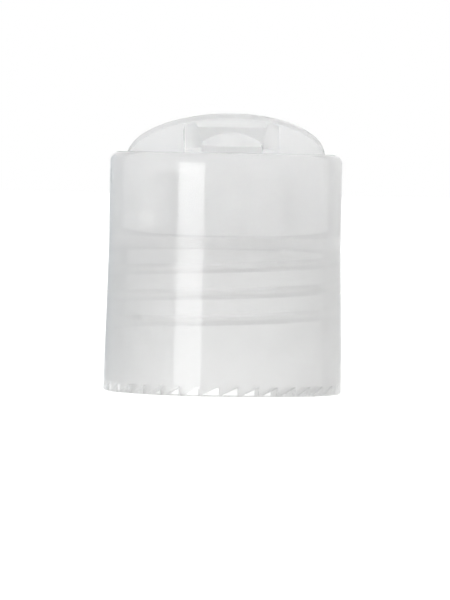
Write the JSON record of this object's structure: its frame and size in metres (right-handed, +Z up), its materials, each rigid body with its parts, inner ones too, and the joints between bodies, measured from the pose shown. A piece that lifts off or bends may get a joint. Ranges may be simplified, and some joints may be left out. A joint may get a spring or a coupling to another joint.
{
  "type": "disc top cap",
  "caption": "Round dispensing cap with an internal neck thread and a tilting disc that lifts a pouring nozzle, for a squeeze bottle, in natural translucent plastic, shown open.",
  "frame": {"origin": "middle of the skirt's end face, which the cap stands on", "axes": "+Z up along the cap's axis towards the disc, -Y to the front where the nozzle pours, +X to the right seen from the front"},
  "size_m": [0.0296, 0.0296, 0.0344],
  "materials": {
    "body_polypropylene": "natural milky polypropylene, moulded, satin gloss",
    "disc_polypropylene": "natural milky polypropylene, moulded, satin gloss"
  },
  "bodies": {
    "body": {"cap_body": "body_polypropylene"},
    "disc": {"disc": "disc_polypropylene"}
  },
  "joints": [
    {"name": "disc_tilt", "type": "hinge", "parent": "body", "child": "disc", "pos_m": [0, 0, 0.0266], "axis": [1, 0, 0], "range_deg": [0, 25]}
  ]
}
